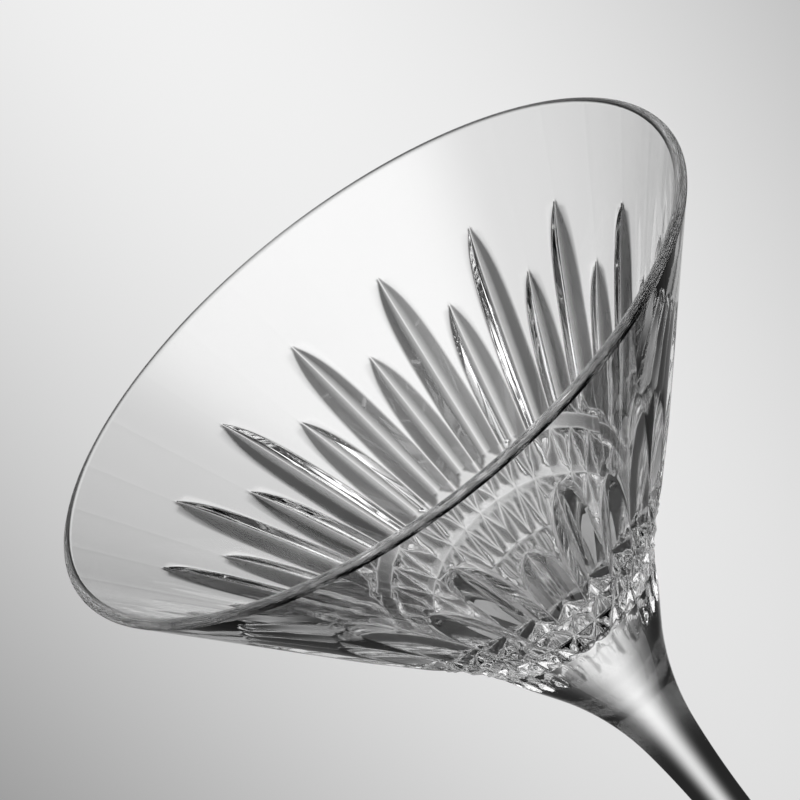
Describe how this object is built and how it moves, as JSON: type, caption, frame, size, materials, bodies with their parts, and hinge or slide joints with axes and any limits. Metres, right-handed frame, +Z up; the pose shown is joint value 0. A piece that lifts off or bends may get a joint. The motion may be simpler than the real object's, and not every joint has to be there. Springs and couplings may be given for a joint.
{
  "type": "martini glass",
  "caption": "Stemmed cocktail glass in clear cut crystal: a wide conical bowl with wedge, diamond and fringe cuts, a swept stem and a round foot.",
  "frame": {"origin": "centre of the foot, on the surface that the glass stands on", "axes": "+Z up along the axis of the stem; the glass is round, so X and Y are any two level directions"},
  "size_m": [0.1134, 0.1134, 0.178],
  "materials": {
    "bowl_crystal": "clear polished crystal with polished wheel cuts",
    "stem_crystal": "clear fire-polished crystal",
    "foot_crystal": "clear fire-polished crystal, finely ground on the ring it stands on"
  },
  "bodies": {
    "root": {"bowl": "bowl_crystal", "stem": "stem_crystal", "foot": "foot_crystal"}
  },
  "joints": []
}
